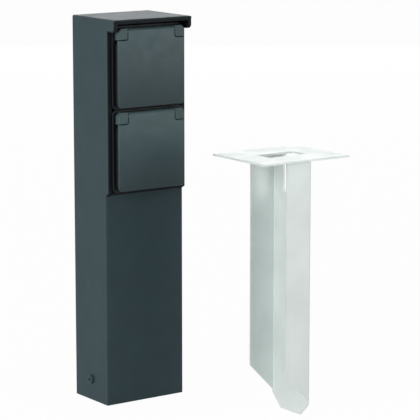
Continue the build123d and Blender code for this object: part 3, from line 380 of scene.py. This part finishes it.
def coil(name, start, along, radius, wire, turns, closed_turns=1.0, steps=20, sides=8):
    """Wound spring from a start point, with its end turns closed up, as a mesh."""
    axis = along.normalized()
    across = axis.orthogonal().normalized()
    third = axis.cross(across)
    count = int(turns * steps)
    open_turns = turns - 2 * closed_turns
    open_length = along.length - 2 * wire - 4 * wire * closed_turns
    points = []
    for index in range(count + 1):
        turn = index / steps
        opened = min(max(turn - closed_turns, 0.0), open_turns)
        closed = min(turn, closed_turns) + max(turn - turns + closed_turns, 0.0)
        run = wire + 2 * wire * closed + open_length * opened / open_turns
        angle = 2 * math.pi * turn
        spoke = across * math.cos(angle) + third * math.sin(angle)
        centre = start + axis * run + spoke * (radius - wire)
        for side in range(sides):
            turned = 2 * math.pi * side / sides
            points.append(centre + (spoke * math.cos(turned) + axis * math.sin(turned)) * wire)
    faces = []
    for ring in range(count):
        for side in range(sides):
            here = ring * sides + side
            beside = ring * sides + (side + 1) % sides
            faces.append((here, beside, beside + sides, here + sides))
    faces.append(tuple(reversed(range(sides))))
    faces.append(tuple(range(count * sides, (count + 1) * sides)))
    mesh = bpy.data.meshes.new(name)
    mesh.from_pydata([tuple(p) for p in points], [], faces)
    mesh.shade_smooth()
    made = bpy.data.objects.new(name, mesh)
    bpy.context.collection.objects.link(made)
    mesh.materials.append(FINISHES["zinc_steel"])
    return made


def make_lid_coil(unit):
    """Wound closing spring on a lid's pin, in place of the CAD sleeve."""
    low, high = corners_of(f"{unit}_lid_spring")
    middle = (low + high) / 2
    made = coil(
        f"{unit}_lid_spring_coil", Vector((low.x, middle.y, middle.z)),
        Vector((high.x - low.x, 0, 0)), radius=(high.z - low.z) / 2, wire=0.4 * MM, turns=12.0,
        closed_turns=2.0,
    )
    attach(made, "post")
    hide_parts(f"{unit}_lid_spring")


def make_shutter_coil(unit):
    """Wound return spring under a shutter."""
    low, high = corners_of(f"{unit}_shutter_spring")
    middle = (low + high) / 2
    length = high.z - low.z
    foot = Vector((middle.x, middle.y, low.z))
    made = coil(
        f"{unit}_shutter_spring_coil", foot, Vector((0, 0, length)),
        radius=(high.x - low.x) / 2, wire=0.15 * MM, turns=14.0,
    )
    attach(made, "post")
    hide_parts(f"{unit}_shutter_spring")
    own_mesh(made)


def seen_directly(tree):
    """1 for rays from the camera, a gloss or a glass, and 0 for the light on the object."""
    path = add(tree, "ShaderNodeLightPath").outputs
    some = maths(tree, "MAXIMUM", path["Is Camera Ray"], path["Is Glossy Ray"])
    return maths(tree, "MAXIMUM", some, path["Is Transmission Ray"])


def make_world():
    """White background, with a lower even light on the object."""
    world = bpy.data.worlds.new("studio")
    world.use_nodes = True
    tree = world.node_tree
    background = tree.nodes["Background"]
    background.inputs["Color"].default_value = (1.0, 1.0, 1.0, 1.0)
    strength = between(tree, seen_directly(tree), AMBIENT, 1.0)
    tree.links.new(strength, background.inputs["Strength"])
    bpy.context.scene.world = world


def make_floor():
    """Plain pale floor that keeps the object's shadow."""
    half = FLOOR_SIZE / 2
    plan = ((-half, -half), (half, -half), (half, half), (-half, half))
    mesh = bpy.data.meshes.new("floor")
    mesh.from_pydata([(x, y, -FLOOR_DROP) for x, y in plan], [], [(0, 1, 2, 3)])
    floor = bpy.data.objects.new("floor", mesh)
    bpy.context.collection.objects.link(floor)
    material = bpy.data.materials.new("floor_pale")
    material.use_nodes = True
    tree = material.node_tree
    tree.nodes.remove(tree.nodes["Principled BSDF"])
    matt = add(tree, "ShaderNodeBsdfDiffuse", {"Color": FLOOR_COLOUR}).outputs[0]
    white = add(tree, "ShaderNodeEmission", {"Strength": 1.0}).outputs[0]
    share = maths(tree, "MULTIPLY", seen_directly(tree), FLOOR_WHITE_SHARE)
    both = add(tree, "ShaderNodeMixShader", {0: share, 1: matt, 2: white}).outputs[0]
    tree.links.new(both, tree.nodes["Material Output"].inputs["Surface"])
    mesh.materials.append(material)


def make_lamp(name, place, size, power):
    """Square soft lamp aimed at the object."""
    data = bpy.data.lights.new(name, "AREA")
    data.size = size
    data.energy = power
    lamp = bpy.data.objects.new(name, data)
    lamp.location = place
    lamp.rotation_euler = (LAMP_AIM - Vector(place)).to_track_quat("-Z", "Y").to_euler()
    lamp.visible_camera = False
    bpy.context.collection.objects.link(lamp)


def make_camera():
    """Camera at the photograph's place."""
    data = bpy.data.cameras.new("camera")
    data.lens = CAMERA_LENS
    data.clip_end = CAMERA_REACH
    camera = bpy.data.objects.new("camera", data)
    camera.location = CAMERA_PLACE
    camera.rotation_euler = (math.pi / 2 - CAMERA_DROP, 0, CAMERA_AZIMUTH)
    bpy.context.collection.objects.link(camera)
    bpy.context.scene.camera = camera


make_outer_finishes()
make_inner_plastics()
make_metals()
make_wire_coverings()
dress_cad_nodes()
for socket_unit in UNITS:
    make_lid_coil(socket_unit)
    make_shutter_coil(socket_unit)
make_world()
make_floor()
for lamp_settings in LAMPS:
    make_lamp(*lamp_settings)
make_camera()
bpy.context.scene.view_settings.view_transform = "Standard"
